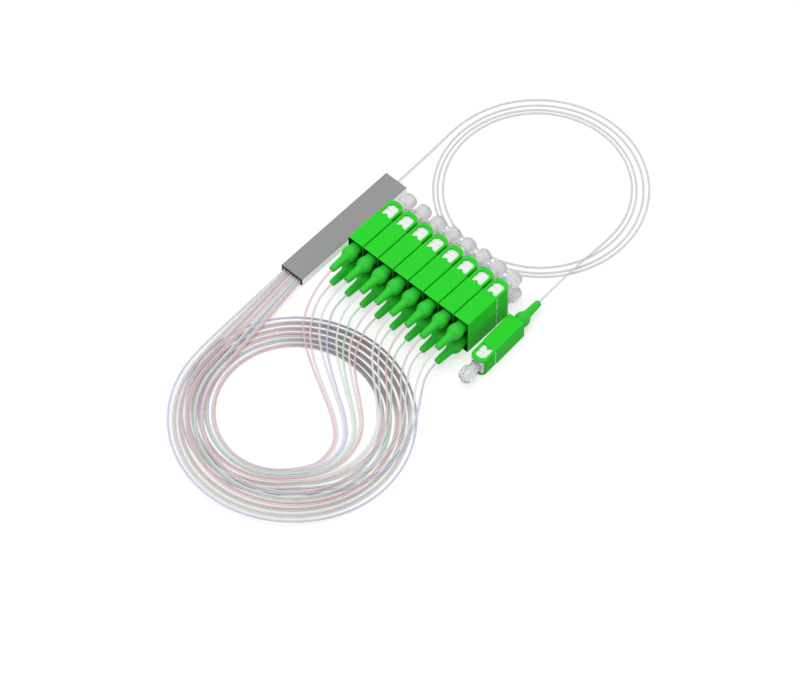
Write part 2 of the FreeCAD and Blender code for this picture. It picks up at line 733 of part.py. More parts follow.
def input_cord():
    """The lead from the module to the input coil, and the tail from the coil to its boot."""
    radius = value("cord_dia") / 2
    start = (value("input_seal_face"), 0.0, value("input_lead_height"))
    coil_top = value("input_coil_y + input_coil_outer") - radius - 0.05
    end = (value("input_coil_x"), coil_top, value("input_coil_height") / 2)
    add_cord("input_lead", tube([start, end], radius))
    yaw = math.radians(value("input_yaw"))
    away = (math.cos(yaw), math.sin(yaw))

    def behind_grip(distance):
        """A point on the input connector's axis, this far behind the middle of its grip."""
        return (value("input_x") + distance * away[0], value("input_y") + distance * away[1],
                value("stack_z"))

    boot_end = -value("boot_tip")
    route = INPUT_TAIL + [behind_grip(boot_end + INPUT_TAIL_STRAIGHT),
                          behind_grip(boot_end)]
    add_cord("input_tail", tube(route, radius))


def ring(name, outer, hole):
    """The outer shape of a flat coil: a disc (x, y, radius) with a round hole."""
    disc = doc.addObject("Part::Cylinder", f"{name}_disc")
    opening = doc.addObject("Part::Cylinder", f"{name}_opening")
    for solid, (x, y, radius) in ((disc, outer), (opening, hole)):
        solid.setExpression("Radius", bound(radius))
        solid.setExpression("Height", bound(f"{name}_height"))
        solid.setExpression("Placement.Base.x", bound(x))
        solid.setExpression("Placement.Base.y", bound(y))
    cut = doc.addObject("Part::Cut", name)
    cut.Label = name
    cut.Base = disc
    cut.Tool = opening
    SUBPARTS.append(cut)


def coils():
    ring("output_coil", ("output_coil_x", "output_coil_y", "output_coil_radius"),
         ("output_hole_x", "output_hole_y", "output_hole_radius"))
    ring("input_coil", ("input_coil_x", "input_coil_y", "input_coil_outer"),
         ("input_coil_x", "input_coil_y", "input_coil_inner"))


# --------------------------------------------------------- build and export

module_case()
module_inside()
connectors()
coils()
doc.recompute()
output_cords()
input_cord()
doc.recompute()

for item in doc.Objects:
    if "Invalid" in item.State or "Error" in item.State:
        raise RuntimeError(f"{item.Name} failed: {item.State}")
for item in SUBPARTS:
    if item.Shape.isNull() or not item.Shape.isValid():
        raise RuntimeError(f"{item.Name} has no valid shape")
print("cord radii from", round(min(shortest_radius), 1), "to", round(max(shortest_radius), 1))

os.makedirs("parts", exist_ok=True)
for item in SUBPARTS:
    item.Shape.exportStep(f"parts/{item.Label}.step")
print(len(SUBPARTS), "sub-parts written")
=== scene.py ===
import math

import bpy
from mathutils import Matrix, Vector


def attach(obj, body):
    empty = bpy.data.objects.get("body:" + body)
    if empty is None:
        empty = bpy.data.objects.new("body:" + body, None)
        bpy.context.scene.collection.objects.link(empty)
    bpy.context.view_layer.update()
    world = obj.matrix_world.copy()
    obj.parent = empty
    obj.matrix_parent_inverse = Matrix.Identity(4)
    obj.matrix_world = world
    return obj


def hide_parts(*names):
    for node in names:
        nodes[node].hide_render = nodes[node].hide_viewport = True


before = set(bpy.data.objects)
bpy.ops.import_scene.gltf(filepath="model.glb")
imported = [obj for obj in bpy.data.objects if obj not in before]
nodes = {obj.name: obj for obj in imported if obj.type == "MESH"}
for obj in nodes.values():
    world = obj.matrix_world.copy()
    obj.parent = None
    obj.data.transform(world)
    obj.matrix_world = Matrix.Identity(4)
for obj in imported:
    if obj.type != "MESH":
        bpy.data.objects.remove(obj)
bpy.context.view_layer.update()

MM = 0.001


# ------------------------------------------------------------------ camera
# A long lens looks down on the splitter from the output coil's side, from far enough
# off to keep its edges parallel. It aims at a point on the floor between the coils.
AIM = Vector((-26.86, -53.82, 0.0)) * MM
AZIMUTH = math.radians(-47.6)
ELEVATION = math.radians(55.0)
DISTANCE = 2.564
LENS = 300.0

bpy.ops.object.camera_add()
camera = bpy.context.object
camera.name = "camera"
camera.data.lens = LENS
camera.data.sensor_width = 36.0
camera.data.clip_start = 0.05
camera.data.clip_end = 20.0
towards_camera = Vector((math.sin(AZIMUTH) * math.cos(ELEVATION),
                         -math.cos(AZIMUTH) * math.cos(ELEVATION),
                         math.sin(ELEVATION)))
camera.location = AIM + towards_camera * DISTANCE
camera.rotation_euler = (-towards_camera).to_track_quat("-Z", "Y").to_euler()
bpy.context.scene.camera = camera


# ------------------------------------------------------------ output cords
# Sixteen tight-buffered 0.9 mm cords, extruded plastic over one fibre each. They
# leave the module as a flat bundle, lie in about one and a half loose turns that
# end further in, and rise one by one into the boots of the stacked plugs.
CORD_DIAMETER = 0.9 * MM
COLUMNS = 8
ROWS = 2
FIRST_COLUMN_Y = -15.3
COLUMN_PITCH = 7.83
UPPER_ROW_Z = 13.7
ROW_PITCH = 9.2
COIL_X, COIL_Y = -78.8, -45.5
TURN_STEP = 15.0
# A closed ring of control points this far apart is drawn in by this much.
DRAWN_IN = math.cos(math.radians(TURN_STEP / 2))

# Where each strand lies across the coil, outermost first: its place in strand
# widths, the bundle of neighbours that it keeps to, and its layer.
STRANDS = [(-0.3, 0, 0)] + [(place + 2 * bundle - 1, bundle, layer) for bundle in range(1, 6)
                            for place, layer in ((0, 0), (0.5, 1), (1, 0))]
STRAND_PITCH = 0.92
LAYER_RISE = 0.8
# The outermost strand's radius and the gap between two bundles (mm), on the wide first
# turn and on the narrow half turn inside it.
WIDE_RADIUS, WIDE_GAP = 47.3, 0.78
NARROW_RADIUS, NARROW_GAP = 33.2, 0.34
# What a strand passes on its way round, in degrees about the coil's middle: it arrives
# from its lead, sinks to the floor, draws in, and then runs out to its tail.
ARRIVES = 90.0
SINKS_FROM, SINKS_TO = 215.0, 275.0
DRAWS_IN_FROM, DRAWS_IN_TO = 402.0, 582.0
DRAW_IN_POWER = 1.4
# The axis of a cord on the floor lies this high (mm), and the leads come in this far above.
LOWEST, LEAD_RISE = 0.5, 1.7
# Each bundle's turns have a slight wave (mm), shifted from bundle to bundle (degrees).
WAVE, WAVE_SHIFT = 0.2, 75.0
# The last point of the turns keeps this share of a step clear of the tail's first point.
CLEAR_OF_TAIL = 0.4

# Points from the coil to the last crossing before the boots, (x, y) in mm,
# by row (0 is the upper one) and column (0 is beside the module).
TAIL_ROUTES = {
    (0, 0): [(-86.0, -67.0), (-76.0, -65.6), (-68.0, -56.6), (-60.6, -42.6), (-52.6, -28.0),
             (-44.2, -18.6)],
    (1, 0): [(-86.0, -68.0), (-75.4, -66.5), (-67.1, -57.2), (-59.7, -43.4), (-50.7, -28.6),
             (-40.2, -19.6)],
    (0, 1): [(-83.5, -69.6), (-73.5, -68.0), (-65.2, -59.4), (-57.3, -46.2), (-48.9, -32.2),
             (-40.4, -23.9)],
    (1, 1): [(-83.5, -70.6), (-72.9, -68.9), (-64.3, -60.0), (-56.4, -47.0), (-46.9, -33.4),
             (-36.7, -25.8)],
    (0, 2): [(-79.5, -71.6), (-69.3, -68.9), (-61.1, -59.9), (-53.4, -48.4), (-45.4, -37.2),
             (-37.0, -30.9)],
    (1, 2): [(-79.5, -72.6), (-68.7, -69.8), (-60.2, -60.5), (-52.5, -49.3), (-43.7, -38.9),
             (-34.2, -33.4)],
    (0, 3): [(-76.0, -73.0), (-65.4, -69.0), (-57.0, -59.6), (-49.6, -49.0), (-42.4, -41.2),
             (-36.2, -38.3)],
    (1, 3): [(-76.0, -74.0), (-64.9, -69.9), (-56.1, -60.4), (-48.6, -50.2), (-41.2, -43.4),
             (-34.8, -41.0)],
    (0, 4): [(-55.5, -68.8), (-46.5, -58.4), (-38.0, -48.9)],
    (1, 4): [(-54.7, -69.7), (-45.8, -60.2), (-36.8, -51.4)],
    (0, 5): [(-53.0, -71.3), (-44.2, -62.8), (-37.4, -55.9)],
    (1, 5): [(-52.2, -72.2), (-43.6, -64.6), (-36.4, -58.4)],
    (0, 6): [(-52.0, -77.0), (-43.8, -69.9), (-37.2, -63.6)],
    (1, 6): [(-51.3, -77.9), (-43.1, -71.6), (-36.5, -66.5)],
    (0, 7): [(-54.5, -83.4), (-45.9, -78.2), (-38.2, -72.0)],
    (1, 7): [(-54.0, -84.4), (-45.1, -79.9), (-37.4, -74.6)],
}
TAIL_HEIGHTS = {
    (0, 6): [1.5, 1.6, 1.7, 2.4, 3.9, 7.0],
    (1, 6): [1.5, 1.6, 1.7, 2.3, 3.3, 3.7],
    (0, 3): [2.3, 3.6, 6.6],
    (1, 3): [2.3, 3.4, 3.6],
}
# Each tail has levelled out behind its boot here, and ends inside it here (mm).
BOOT_BEND_X, BOOT_INSIDE_X = -29.5, -19.9
# The cords leave the resin side by side, every second one higher (mm), and each lead is
# straight until this share of its way is left.
EXIT_X, EXIT_PITCH, MIDDLE_LANE = -28.5, 0.56, 7.5
EXIT_HEIGHT, EXIT_RISE = 1.35, 1.1
LEAD_CURVES = 0.25


def across(lane, gap):
    """How far in from the outermost strand a lane lies, in mm."""
    place, bundle, _ = STRANDS[lane]
    return place * STRAND_PITCH + bundle * gap


def eased(t):
    """Runs from 0 to 1 as t does, with a soft start and end."""
    return t * t * (3 - 2 * t)


def plug_axis(row, column):
    """Where a plug's axis lies in the stack, (y, z) in mm."""
    return FIRST_COLUMN_Y - COLUMN_PITCH * column, UPPER_ROW_Z - ROW_PITCH * row


def turn_points(lane, first_tail, tail_height):
    """Control points of a lane's loops, from the side where the leads arrive to its tail."""
    _, bundle, layer = STRANDS[lane]
    wide = WIDE_RADIUS - across(lane, WIDE_GAP)
    narrow = NARROW_RADIUS - across(lane, NARROW_GAP)
    dx, dy = first_tail[0] - COIL_X, first_tail[1] - COIL_Y
    tail_radius = math.hypot(dx, dy)
    tail_angle = math.degrees(math.atan2(dy, dx)) % 360 + 360
    low = LOWEST + LAYER_RISE * layer
    points = []
    steps = int((tail_angle - ARRIVES) / TURN_STEP - CLEAR_OF_TAIL)
    for step in range(steps + 1):
        angle = ARRIVES + TURN_STEP * step
        if angle < DRAWS_IN_FROM:
            radius = wide
        elif angle < DRAWS_IN_TO:
            drawn_in = (angle - DRAWS_IN_FROM) / (DRAWS_IN_TO - DRAWS_IN_FROM)
            radius = wide + (narrow - wide) * drawn_in ** DRAW_IN_POWER
        else:
            run_out = (angle - DRAWS_IN_TO) / (tail_angle - DRAWS_IN_TO)
            half_eased = 0.5 * run_out + 0.5 * eased(run_out)
            radius = narrow + (tail_radius - narrow) * half_eased
        radius += WAVE * math.sin(math.radians(2.0 * angle + WAVE_SHIFT * bundle))
        if angle < SINKS_FROM:
            height = low + LEAD_RISE
        elif angle < SINKS_TO:
            sunk = eased((angle - SINKS_FROM) / (SINKS_TO - SINKS_FROM))
            height = low + LEAD_RISE * (1 - sunk)
        elif angle < DRAWS_IN_TO:
            height = low
        else:
            height = low + (tail_height - low) * eased(run_out)
        turn = math.radians(angle)
        reach = radius / DRAWN_IN
        points.append((COIL_X + reach * math.cos(turn), COIL_Y + reach * math.sin(turn), height))
    return points


def select_only(piece):
    """Leaves one piece selected and active, for the operators that follow."""
    bpy.ops.object.select_all(action="DESELECT")
    piece.select_set(True)
    bpy.context.view_layer.objects.active = piece


def add_cord(name, route):
    """A tube along the NURBS spline of the route's points, in mm, and the line it follows."""
    curve = bpy.data.curves.new(name, "CURVE")
    curve.dimensions = "3D"
    spline = curve.splines.new("NURBS")
    spline.points.add(len(route) - 1)
    for point, place in zip(spline.points, route):
        point.co = (*(Vector(place) * MM), 1.0)
    spline.order_u = 3
    spline.use_endpoint_u = True
    spline.resolution_u = 8
    cord = bpy.data.objects.new(name, curve)
    bpy.context.collection.objects.link(cord)
    line = bpy.data.meshes.new_from_object(cord)
    path = [tuple(vertex.co) for vertex in line.vertices]
    bpy.data.meshes.remove(line)
    curve.bevel_depth = CORD_DIAMETER / 2
    curve.bevel_resolution = 4
    curve.use_fill_caps = True
    select_only(cord)
    bpy.ops.object.convert(target="MESH")
    cord = bpy.context.object
    bpy.ops.object.shade_smooth_by_angle(angle=math.radians(60.0))
    return cord, path


output_cords = []
for (row, column), plan in TAIL_ROUTES.items():
    lane = 2 * (COLUMNS - 1 - column) + (1 - row)
    heights = TAIL_HEIGHTS[row, len(plan)]
    loops = turn_points(lane, plan[0], heights[0])
    start = Vector((EXIT_X, (MIDDLE_LANE - lane) * EXIT_PITCH,
                    EXIT_HEIGHT + EXIT_RISE * (lane % 2)))
    arrival = Vector(loops[0])
    near = arrival + (start - arrival) * LEAD_CURVES
    route = [start, near] + loops
    route += [(x, y, z) for (x, y), z in zip(plan, heights)]
    route += [(BOOT_BEND_X, *plug_axis(row, column)), (BOOT_INSIDE_X, *plug_axis(row, column))]
    number = row * COLUMNS + column + 1
    cord, path = add_cord(f"output_cord_{number:02d}", route)
    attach(cord, "splitter")
    output_cords.append((lane, number, cord, start * MM, path))
output_cords.sort(key=lambda entry: entry[0])
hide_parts("output_leads", "output_coil", "output_tails")


# -------------------------------------------------------------- input cord
# One clear 0.9 mm cord. It runs straight from the module to its coil of three and
# a half open turns, then over the outer turns and into the boot of the input plug.
INPUT_COIL_X, INPUT_COIL_Y = 66.3, -42.4
INPUT_START = (29.5, 0.0, 2.0)
INPUT_TURNS = 3.5
# The outer turn's radius and what each turn draws in (mm), and a slow wave: its depth
# (mm), its rate, and where it starts (degrees).
INPUT_RADIUS, INPUT_DRAW_IN = 43.7, 2.2
INPUT_WAVE, INPUT_WAVE_RATE, INPUT_WAVE_START = 0.35, 0.7, 40.0
input_route = [INPUT_START, (55.0, 0.9, 0.95)]
for step in range(int(INPUT_TURNS * 360 / TURN_STEP)):
    turned_by = TURN_STEP * step
    wave = math.sin(math.radians(INPUT_WAVE_RATE * turned_by + INPUT_WAVE_START))
    radius = INPUT_RADIUS - INPUT_DRAW_IN * turned_by / 360.0
    radius += INPUT_WAVE * wave
    turn = math.radians(ARRIVES - turned_by)
    reach = radius / DRAWN_IN
    input_route.append((INPUT_COIL_X + reach * math.cos(turn),
                        INPUT_COIL_Y + reach * math.sin(turn), LOWEST))
input_route += [(66.3, -78.4, 0.5), (56.2, -78.5, 1.5), (45.4, -79.0, 2.9),
                (33.0, -79.94, 4.5), (20.52, -80.57, 4.5)]
input_cord, input_path = add_cord("input_cord", input_route)
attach(input_cord, "splitter")
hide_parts("input_lead", "input_coil", "input_tail")


# --------------------------------------------------------------- cord jackets
# Each jacket is extruded clear plastic over a tinted buffer, so it shows a pale
# tint, soft gloss and slightly uneven drawing marks along its length. The low turns of the
# output coil are darkened by a painted shade.
def node_group(name, inputs, outputs):
    """An empty shader node group with its sockets, and its input and output nodes."""
    group = bpy.data.node_groups.new(name, "ShaderNodeTree")
    for label, kind, default in inputs:
        socket = group.interface.new_socket(label, in_out="INPUT", socket_type=kind)
        socket.default_value = default
    for label, kind in outputs:
        group.interface.new_socket(label, in_out="OUTPUT", socket_type=kind)
    return group, group.nodes.new("NodeGroupInput"), group.nodes.new("NodeGroupOutput")


def arithmetic(tree, kind, first, second=0.0):
    """The result of a Math node in the tree, fed by sockets or by plain numbers."""
    node = tree.nodes.new("ShaderNodeMath")
    node.operation = kind
    for socket, source in zip(node.inputs, (first, second)):
        if isinstance(source, float):
            socket.default_value = source
        else:
            tree.links.new(source, socket)
    return node.outputs[0]


def fade(tree, value, start, end):
    """A mask that goes from 0 to 1 as the value goes from start to end."""
    node = tree.nodes.new("ShaderNodeMapRange")
    tree.links.new(value, node.inputs["Value"])
    node.inputs["From Min"].default_value = start
    node.inputs["From Max"].default_value = end
    return node.outputs["Result"]


def brightened(tree, color, factor):
    """The colour times the factor."""
    node = tree.nodes.new("ShaderNodeVectorMath")
    node.operation = "SCALE"
    tree.links.new(color, node.inputs[0])
    tree.links.new(factor, node.inputs["Scale"])
    return node.outputs[0]


def surface_group():
    """Noise over Object coordinates: a mottled colour, a roughness and a fine bump."""
    group, given, made = node_group(
        "moulded_surface",
        [("Color", "NodeSocketColor", (0.5, 0.5, 0.5, 1.0)),
         ("Mottle", "NodeSocketFloat", 0.05), ("Mottle Scale", "NodeSocketFloat", 300.0),
         ("Roughness", "NodeSocketFloat", 0.4), ("Roughness Spread", "NodeSocketFloat", 0.1),
         ("Grain Scale", "NodeSocketFloat", 6000.0), ("Grain Depth", "NodeSocketFloat", 0.1),
         ("Stretch", "NodeSocketVector", (1.0, 1.0, 1.0))],
        [("Color", "NodeSocketColor"), ("Roughness", "NodeSocketFloat"),
         ("Normal", "NodeSocketVector")])
    place = group.nodes.new("ShaderNodeTexCoord")
    stretch = group.nodes.new("ShaderNodeVectorMath")
    stretch.operation = "MULTIPLY"
    group.links.new(place.outputs["Object"], stretch.inputs[0])
    group.links.new(given.outputs["Stretch"], stretch.inputs[1])
    cloud = group.nodes.new("ShaderNodeTexNoise")
    cloud.inputs["Detail"].default_value = 3.0
    group.links.new(stretch.outputs[0], cloud.inputs["Vector"])
    group.links.new(given.outputs["Mottle Scale"], cloud.inputs["Scale"])
    grain = group.nodes.new("ShaderNodeTexNoise")
    grain.inputs["Detail"].default_value = 2.0
    group.links.new(stretch.outputs[0], grain.inputs["Vector"])
    group.links.new(given.outputs["Grain Scale"], grain.inputs["Scale"])
    swing = arithmetic(group, "SUBTRACT", cloud.outputs["Fac"], 0.5)
    mottle = arithmetic(group, "MULTIPLY", swing, given.outputs["Mottle"])
    shade = arithmetic(group, "ADD", mottle, 1.0)
    group.links.new(brightened(group, given.outputs["Color"], shade), made.inputs["Color"])
    uneven = arithmetic(group, "MULTIPLY", swing, given.outputs["Roughness Spread"])
    group.links.new(arithmetic(group, "ADD", uneven, given.outputs["Roughness"]),
                    made.inputs["Roughness"])
    bump = group.nodes.new("ShaderNodeBump")
    bump.inputs["Distance"].default_value = 0.02 * MM
    group.links.new(given.outputs["Grain Depth"], bump.inputs["Strength"])
    group.links.new(grain.outputs["Fac"], bump.inputs["Height"])
    group.links.new(bump.outputs["Normal"], made.inputs["Normal"])
    return group


SURFACE = surface_group()


def material(name, color, surface, shader):
    """A Principled material fed by the surface group; both take plain values by socket name."""
    made = bpy.data.materials.new(name)
    made.use_nodes = True
    principled = made.node_tree.nodes["Principled BSDF"]
    for label, setting in shader.items():
        principled.inputs[label].default_value = setting
    group = made.node_tree.nodes.new("ShaderNodeGroup")
    group.node_tree = SURFACE
    group.name = "surface"
    group.inputs["Color"].default_value = (*color, 1.0)
    for label, setting in surface.items():
        group.inputs[label].default_value = setting
    for output, socket in (("Color", "Base Color"), ("Roughness", "Roughness"),
                           ("Normal", "Normal")):
        made.node_tree.links.new(group.outputs[output], principled.inputs[socket])
    return made


# Painted shade on the low turns of the output coil. How strongly the turns are shaded at each
# angle in degrees about the coil's middle, and where the shade sets in and is full: inwards,
# outwards and upwards.
TURN_SHADES = [(-170.0, 0.0), (-150.0, 0.25), (-115.0, 0.25), (-90.0, 0.0), (-48.0, 0.0),
               (-30.0, 0.85), (-5.0, 1.0), (20.0, 0.9), (38.0, 0.4), (55.0, 0.0)]
SHADE_INNER = (30.5 * MM, 31.5 * MM)
SHADE_OUTER = (49.0 * MM, 48.3 * MM)
SHADE_TOP = (2.5 * MM, 2.0 * MM)


def turn_shade_group():
    """Paints shade onto the low turns of the output coil by their place round its middle."""
    group, given, made = node_group(
        "turn_shade", [("Color", "NodeSocketColor", (0.5, 0.5, 0.5, 1.0)),
                       ("Depth", "NodeSocketFloat", 0.5)], [("Color", "NodeSocketColor")])
    place = group.nodes.new("ShaderNodeTexCoord")
    from_middle = group.nodes.new("ShaderNodeVectorMath")
    from_middle.operation = "SUBTRACT"
    from_middle.inputs[1].default_value = (COIL_X * MM, COIL_Y * MM, 0.0)
    group.links.new(place.outputs["Object"], from_middle.inputs[0])
    apart = group.nodes.new("ShaderNodeSeparateXYZ")
    group.links.new(from_middle.outputs[0], apart.inputs[0])
    x, y, z = (apart.outputs[axis] for axis in "XYZ")
    squares = arithmetic(group, "ADD", arithmetic(group, "MULTIPLY", x, x),
                         arithmetic(group, "MULTIPLY", y, y))
    radius = arithmetic(group, "SQRT", squares)
    in_turns = arithmetic(group, "MULTIPLY", fade(group, radius, *SHADE_INNER),
                          fade(group, radius, *SHADE_OUTER))
    in_turns = arithmetic(group, "MULTIPLY", in_turns, fade(group, z, *SHADE_TOP))
    around = group.nodes.new("ShaderNodeValToRGB")
    angle = arithmetic(group, "ARCTAN2", y, x)
    group.links.new(fade(group, angle, -math.pi, math.pi), around.inputs[0])
    stops = around.color_ramp.elements
    for degrees, shade in TURN_SHADES:
        stop = stops.new((degrees + 180.0) / 360.0)
        stop.color = (shade, shade, shade, 1.0)
    stops[0].color = (0.0, 0.0, 0.0, 1.0)
    stops[len(stops) - 1].color = (0.0, 0.0, 0.0, 1.0)
    dark = arithmetic(group, "MULTIPLY", around.outputs["Color"], in_turns)
    dark = arithmetic(group, "MULTIPLY", dark, given.outputs["Depth"])
    left = arithmetic(group, "SUBTRACT", 1.0, dark)
    group.links.new(brightened(group, given.outputs["Color"], left), made.inputs["Color"])
    return group


TURN_SHADE = turn_shade_group()
JACKET_CLEARNESS = 0.45


def jacket(name, color, depth):
    """A jacket of one tint; depth is how far the painted shade on the low turns darkens it."""
    made = material(f"jacket_{name}", color,
                    {"Mottle": 0.06, "Mottle Scale": 260.0, "Roughness": 0.3,
                     "Roughness Spread": 0.15, "Grain Scale": 2500.0, "Grain Depth": 0.03},
                    {"Alpha": 1.0 - JACKET_CLEARNESS, "IOR": 1.4})
    tree = made.node_tree
    # The painted shade of the low turns sits between the surface colour and the base colour.
    shade = tree.nodes.new("ShaderNodeGroup")
    shade.node_tree = TURN_SHADE
    shade.inputs["Depth"].default_value = depth
    tree.links.new(tree.nodes["surface"].outputs["Color"], shade.inputs["Color"])
    tree.links.new(shade.outputs["Color"], tree.nodes["Principled BSDF"].inputs["Base Color"])
    return made


JACKETS = {
    "rose": jacket("rose", (0.95, 0.66, 0.70), 0.5),
    "pink": jacket("pink", (0.96, 0.85, 0.87), 0.6),
    "lilac": jacket("lilac", (0.75, 0.73, 0.95), 0.8),
    "blue": jacket("blue", (0.89, 0.91, 0.97), 0.75),
    "green": jacket("green", (0.69, 0.92, 0.75), 0.5),
    "mint": jacket("mint", (0.91, 0.97, 0.93), 0.65),
    "grey": jacket("grey", (0.80, 0.80, 0.82), 0.85),
    "cream": jacket("cream", (0.96, 0.95, 0.92), 0.8),
}
# The tints of the strands, from the outermost one inwards.
LANE_JACKETS = ["lilac", "mint", "pink", "grey", "green", "rose", "blue", "cream",
                "rose", "pink", "green", "mint", "lilac", "blue", "pink", "rose"]
for lane, _, cord, _, _ in output_cords:
    cord.data.materials.append(JACKETS[LANE_JACKETS[lane]])
input_cord.data.materials.append(jacket("clear", (0.80, 0.80, 0.81), 0.0))


# --------------------------------------------------------------------- module
# A thin folded steel tube with a fine satin brush along it. Grey resin closes
# both ends round the cords, and the chip lies glued between its fibre blocks.
def copy_of_node(node, name):
    """A new object with the node's shape, its loose triangles merged into clean faces."""
    piece = bpy.data.objects.new(name, nodes[node].data.copy())
    bpy.context.collection.objects.link(piece)
    piece.data.materials.clear()
    select_only(piece)
    bpy.ops.object.mode_set(mode="EDIT")
    bpy.ops.mesh.select_all(action="SELECT")
    bpy.ops.mesh.remove_doubles(threshold=0.002 * MM)
    bpy.ops.mesh.dissolve_limited(angle_limit=math.radians(0.5))
    bpy.ops.object.mode_set(mode="OBJECT")
    return piece


def soften(piece, width, segments=2):
    """Rounds a piece's sharp edges by a width in mm; its flat faces stay flat."""
    select_only(piece)
    bevel = piece.modifiers.new("rounding", "BEVEL")
    bevel.width = width * MM
    bevel.segments = segments
    bevel.limit_method = "ANGLE"
    bevel.angle_limit = math.radians(30.0)
    bpy.ops.object.modifier_apply(modifier="rounding")
    bpy.ops.object.shade_smooth_by_angle(angle=math.radians(50.0))
    flatten = piece.modifiers.new("flat_faces", "WEIGHTED_NORMAL")
    flatten.weight = 100
    flatten.keep_sharp = True
    bpy.ops.object.modifier_apply(modifier="flat_faces")
    return piece


def finish_piece(piece, body, slot, made_of, *replaced):
    """Gives a piece its material and its body, and takes the place of the nodes named."""
    piece.data.materials.append(made_of)
    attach(piece, body)
    if replaced:
        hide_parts(*replaced)


def blended(tree, factor, color, other):
    """A mix that is all the first colour at factor 0 and all the other one at 1."""
    node = tree.nodes.new("ShaderNodeMix")
    node.data_type = "RGBA"
    tree.links.new(factor, node.inputs["Factor"])
    for label, source in (("A", color), ("B", other)):
        if isinstance(source, tuple):
            node.inputs[label].default_value = (*source, 1.0)
        else:
            tree.links.new(source, node.inputs[label])
    return node.outputs["Result"]


# The sides are painted bright and the faces that look up or down grey, a painted reflection
# that lights the sides more than the flat faces. The faces that look along the tube, at its
# cut ends, are near black. A face is flat or an end by how squarely it faces up, down or
# along the tube.
CASE_GREY = (0.265, 0.265, 0.268)
PAINTED_BRIGHT_SIDES = (0.92, 0.92, 0.92)
END_DARK = (0.02, 0.02, 0.021)
FLAT_FACING = (0.3, 0.8)
END_FACING = (0.6, 0.9)
CASE_STEEL = material("case_steel", CASE_GREY,
                      {"Mottle": 0.05, "Mottle Scale": 500.0, "Roughness": 0.5,
                       "Roughness Spread": 0.12, "Grain Scale": 9000.0, "Grain Depth": 0.2,
                       "Stretch": (0.03, 1.0, 1.0)},
                      {"Metallic": 0.5})
case_tree = CASE_STEEL.node_tree
facing = case_tree.nodes.new("ShaderNodeNewGeometry")
axes = case_tree.nodes.new("ShaderNodeSeparateXYZ")
case_tree.links.new(facing.outputs["True Normal"], axes.inputs[0])
level = arithmetic(case_tree, "ABSOLUTE", axes.outputs["Z"])
endwise = arithmetic(case_tree, "ABSOLUTE", axes.outputs["X"])
# Painted reflection: the colour goes from bright to grey as the face turns to look up or down.
painted_reflection = blended(case_tree, fade(case_tree, level, *FLAT_FACING), PAINTED_BRIGHT_SIDES, CASE_GREY)
case_colour = blended(case_tree, fade(case_tree, endwise, *END_FACING), painted_reflection, END_DARK)
case_tree.links.new(case_colour, case_tree.nodes["surface"].inputs["Color"])
case = soften(copy_of_node("module_case", "module_tube"), 0.06)
finish_piece(case, "splitter", "case_steel", CASE_STEEL, "module_case")

POTTING = material("potting", (0.05, 0.05, 0.055),
                   {"Mottle": 0.3, "Mottle Scale": 900.0, "Roughness": 0.35,
                    "Roughness Spread": 0.2, "Grain Scale": 1500.0, "Grain Depth": 0.4}, {})
SILICA = material("silica", (0.75, 0.80, 0.82), {"Roughness": 0.08, "Grain Depth": 0.02},
                  {"Transmission Weight": 0.7, "IOR": 1.46})


def dress(made_of, *dressed):
    """A better material on nodes whose shape is right."""
    for name in dressed:
        materials = nodes[name].data.materials
        for place in range(len(materials)):
            materials[place] = made_of


def block(name, middle, size):
    """A plain block round its middle (m), its length, width and height in mm."""
    bpy.ops.object.select_all(action="DESELECT")
    bpy.ops.mesh.primitive_cube_add(size=1.0, location=middle,
                                    scale=[part * MM for part in size])
    piece = bpy.context.object
    piece.name = name
    bpy.ops.object.transform_apply(location=True, rotation=True, scale=True)
    return piece


dress(POTTING, "input_end_seal", "output_end_seal")
dress(SILICA, "splitter_chip", "input_fibre_block", "output_fibre_block", "input_fibre",
      "fibre_ribbon")

# A second pour of resin fills the output mouth and swells a little past its rim, in two
# steps: how far in from the last edge each starts, and how far it stands out (mm).
RESIN_SIZE = (1.7, 9.92, 2.94)
RESIN_SWELL = [(0.35, 0.2), (0.5, 0.12)]
mouth_resin = block("mouth_resin", (-29.2 * MM, 0.0, 1.99 * MM), RESIN_SIZE)
# Only the face that looks out of the mouth is worked on.
for face in mouth_resin.data.polygons:
    face.select = face.normal.x < -0.9
bpy.ops.object.mode_set(mode="EDIT")
bpy.ops.mesh.select_mode(type="FACE")
for inset, swell in RESIN_SWELL:
    bpy.ops.mesh.inset(thickness=inset * MM)
    bpy.ops.transform.translate(value=(-swell * MM, 0.0, 0.0))
bpy.ops.object.mode_set(mode="OBJECT")
soften(mouth_resin, 0.12)
finish_piece(mouth_resin, "splitter", "potting_grey", POTTING)


# ---------------------------------------------------------------------- grips
# The push-pull housing of each plug: one hard moulded sleeve, bright green for an
# angled polish, with a narrower nose, a key rib and a latch window above and below.
GRIP_GREEN = material("grip_green", (0.028, 0.72, 0.030),
                      {"Mottle": 0.06, "Mottle Scale": 150.0, "Roughness": 0.48,
                       "Roughness Spread": 0.1, "Grain Scale": 5000.0, "Grain Depth": 0.12},
                      {"Specular IOR Level": 0.08})


def moved_copy(piece, name, placing):
    """A copy with its own mesh, moved there in its mesh."""
    copy = piece.copy()
    copy.data = piece.data.copy()
    copy.name = name
    copy.data.name = name
    copy.data.transform(placing)
    bpy.context.collection.objects.link(copy)
    return copy


STACK_X = 2.3


def stack_place(row, column):
    """The middle of a grip in the stack (m)."""
    return Vector((STACK_X, *plug_axis(row, column))) * MM


FIRST_PLACE = stack_place(0, 0)
ORIGIN = Vector((0.0, 0.0, 0.0))
# The input plug lies turned end for end about a level axis, with a small yaw.
INPUT_PLACE = Vector((-2.65, -81.75, 4.5)) * MM
INPUT_YAW = math.radians(2.9)
half_turn_axis = Vector((-math.sin(INPUT_YAW / 2), math.cos(INPUT_YAW / 2), 0.0))
TO_INPUT = (Matrix.Translation(INPUT_PLACE) @ Matrix.Rotation(math.pi, 4, half_turn_axis)
            @ Matrix.Translation(-FIRST_PLACE))


